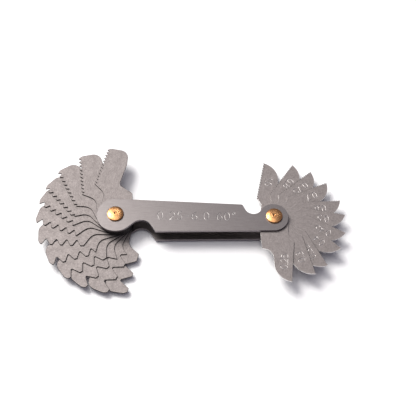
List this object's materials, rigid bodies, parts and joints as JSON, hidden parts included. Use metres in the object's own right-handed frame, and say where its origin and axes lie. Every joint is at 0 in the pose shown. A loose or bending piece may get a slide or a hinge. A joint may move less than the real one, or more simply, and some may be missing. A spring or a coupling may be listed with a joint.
{
  "type": "screw pitch gauge",
  "caption": "Pocket screw pitch gauge: slim open-sided steel case with toothed leaves fanned out on a brass rivet at each end.",
  "frame": {"origin": "on the left pivot axis, in the plane of the flat rear rivet ends that the gauge rests on", "axes": "+X to the right pivot along the case, +Y to the long side of the case with the right finger notch, +Z along the pivots towards the front plate"},
  "size_m": [0.1076, 0.055, 0.009],
  "materials": {
    "case_steel": "satin, brushed lengthwise",
    "leaf_steel": "fine matt ground sheet with bright cut edges",
    "rivet_brass": "fine turned rings"
  },
  "bodies": {
    "case": {"front_plate": "case_steel", "back_plate": "case_steel", "left_rivet": "rivet_brass", "right_rivet": "rivet_brass", "spacer_washer": "leaf_steel"},
    "leaf_1_25_mm": {"leaf_1_25_mm": "leaf_steel"},
    "leaf_1_50_mm": {"leaf_1_50_mm": "leaf_steel"},
    "leaf_1_75_mm": {"leaf_1_75_mm": "leaf_steel"},
    "leaf_2_00_mm": {"leaf_2_00_mm": "leaf_steel"},
    "leaf_2_50_mm": {"leaf_2_50_mm": "leaf_steel"},
    "leaf_3_00_mm": {"leaf_3_00_mm": "leaf_steel"},
    "leaf_3_50_mm": {"leaf_3_50_mm": "leaf_steel"},
    "leaf_4_00_mm": {"leaf_4_00_mm": "leaf_steel"},
    "leaf_4_50_mm": {"leaf_4_50_mm": "leaf_steel"},
    "leaf_5_00_mm": {"leaf_5_00_mm": "leaf_steel"},
    "leaf_5_50_mm": {"leaf_5_50_mm": "leaf_steel"},
    "leaf_6_00_mm": {"leaf_6_00_mm": "leaf_steel"},
    "leaf_0_25_mm": {"leaf_0_25_mm": "leaf_steel"},
    "leaf_0_30_mm": {"leaf_0_30_mm": "leaf_steel"},
    "leaf_0_35_mm": {"leaf_0_35_mm": "leaf_steel"},
    "leaf_0_40_mm": {"leaf_0_40_mm": "leaf_steel"},
    "leaf_0_45_mm": {"leaf_0_45_mm": "leaf_steel"},
    "leaf_0_50_mm": {"leaf_0_50_mm": "leaf_steel"},
    "leaf_0_60_mm": {"leaf_0_60_mm": "leaf_steel"},
    "leaf_0_70_mm": {"leaf_0_70_mm": "leaf_steel"},
    "leaf_0_75_mm": {"leaf_0_75_mm": "leaf_steel"},
    "leaf_0_80_mm": {"leaf_0_80_mm": "leaf_steel"},
    "leaf_1_00_mm": {"leaf_1_00_mm": "leaf_steel"}
  },
  "joints": [
    {"name": "leaf_1_25_mm_swing", "type": "hinge", "parent": "case", "child": "leaf_1_25_mm", "pos_m": [0, 0, 0.0045], "axis": [0, 0, 1], "range_deg": [-13, 262]},
    {"name": "leaf_1_50_mm_swing", "type": "hinge", "parent": "case", "child": "leaf_1_50_mm", "pos_m": [0, 0, 0.0045], "axis": [0, 0, 1], "range_deg": [-35.5, 239.5]},
    {"name": "leaf_1_75_mm_swing", "type": "hinge", "parent": "case", "child": "leaf_1_75_mm", "pos_m": [0, 0, 0.0045], "axis": [0, 0, 1], "range_deg": [-55, 220]},
    {"name": "leaf_2_00_mm_swing", "type": "hinge", "parent": "case", "child": "leaf_2_00_mm", "pos_m": [0, 0, 0.0045], "axis": [0, 0, 1], "range_deg": [-70.5, 204.5]},
    {"name": "leaf_2_50_mm_swing", "type": "hinge", "parent": "case", "child": "leaf_2_50_mm", "pos_m": [0, 0, 0.0045], "axis": [0, 0, 1], "range_deg": [-83, 192]},
    {"name": "leaf_3_00_mm_swing", "type": "hinge", "parent": "case", "child": "leaf_3_00_mm", "pos_m": [0, 0, 0.0045], "axis": [0, 0, 1], "range_deg": [-98.5, 176.5]},
    {"name": "leaf_3_50_mm_swing", "type": "hinge", "parent": "case", "child": "leaf_3_50_mm", "pos_m": [0, 0, 0.0045], "axis": [0, 0, 1], "range_deg": [-116, 159]},
    {"name": "leaf_4_00_mm_swing", "type": "hinge", "parent": "case", "child": "leaf_4_00_mm", "pos_m": [0, 0, 0.0045], "axis": [0, 0, 1], "range_deg": [-135, 140]},
    {"name": "leaf_4_50_mm_swing", "type": "hinge", "parent": "case", "child": "leaf_4_50_mm", "pos_m": [0, 0, 0.0045], "axis": [0, 0, 1], "range_deg": [-151, 124]},
    {"name": "leaf_5_00_mm_swing", "type": "hinge", "parent": "case", "child": "leaf_5_00_mm", "pos_m": [0, 0, 0.0045], "axis": [0, 0, 1], "range_deg": [-165, 110]},
    {"name": "leaf_5_50_mm_swing", "type": "hinge", "parent": "case", "child": "leaf_5_50_mm", "pos_m": [0, 0, 0.0045], "axis": [0, 0, 1], "range_deg": [-181, 94]},
    {"name": "leaf_6_00_mm_swing", "type": "hinge", "parent": "case", "child": "leaf_6_00_mm", "pos_m": [0, 0, 0.0045], "axis": [0, 0, 1], "range_deg": [-195, 80]},
    {"name": "leaf_0_25_mm_swing", "type": "hinge", "parent": "case", "child": "leaf_0_25_mm", "pos_m": [0.0548, 0, 0.0045], "axis": [0, 0, 1], "range_deg": [-7.5, 267.5]},
    {"name": "leaf_0_30_mm_swing", "type": "hinge", "parent": "case", "child": "leaf_0_30_mm", "pos_m": [0.0548, 0, 0.0045], "axis": [0, 0, 1], "range_deg": [-27.5, 247.5]},
    {"name": "leaf_0_35_mm_swing", "type": "hinge", "parent": "case", "child": "leaf_0_35_mm", "pos_m": [0.0548, 0, 0.0045], "axis": [0, 0, 1], "range_deg": [-40, 235]},
    {"name": "leaf_0_40_mm_swing", "type": "hinge", "parent": "case", "child": "leaf_0_40_mm", "pos_m": [0.0548, 0, 0.0045], "axis": [0, 0, 1], "range_deg": [-59.5, 215.5]},
    {"name": "leaf_0_45_mm_swing", "type": "hinge", "parent": "case", "child": "leaf_0_45_mm", "pos_m": [0.0548, 0, 0.0045], "axis": [0, 0, 1], "range_deg": [-74.5, 200.5]},
    {"name": "leaf_0_50_mm_swing", "type": "hinge", "parent": "case", "child": "leaf_0_50_mm", "pos_m": [0.0548, 0, 0.0045], "axis": [0, 0, 1], "range_deg": [-91.5, 183.5]},
    {"name": "leaf_0_60_mm_swing", "type": "hinge", "parent": "case", "child": "leaf_0_60_mm", "pos_m": [0.0548, 0, 0.0045], "axis": [0, 0, 1], "range_deg": [-105.5, 169.5]},
    {"name": "leaf_0_70_mm_swing", "type": "hinge", "parent": "case", "child": "leaf_0_70_mm", "pos_m": [0.0548, 0, 0.0045], "axis": [0, 0, 1], "range_deg": [-125.5, 149.5]},
    {"name": "leaf_0_75_mm_swing", "type": "hinge", "parent": "case", "child": "leaf_0_75_mm", "pos_m": [0.0548, 0, 0.0045], "axis": [0, 0, 1], "range_deg": [-142, 133]},
    {"name": "leaf_0_80_mm_swing", "type": "hinge", "parent": "case", "child": "leaf_0_80_mm", "pos_m": [0.0548, 0, 0.0045], "axis": [0, 0, 1], "range_deg": [-158, 117]},
    {"name": "leaf_1_00_mm_swing", "type": "hinge", "parent": "case", "child": "leaf_1_00_mm", "pos_m": [0.0548, 0, 0.0045], "axis": [0, 0, 1], "range_deg": [-181.5, 93.5]}
  ]
}
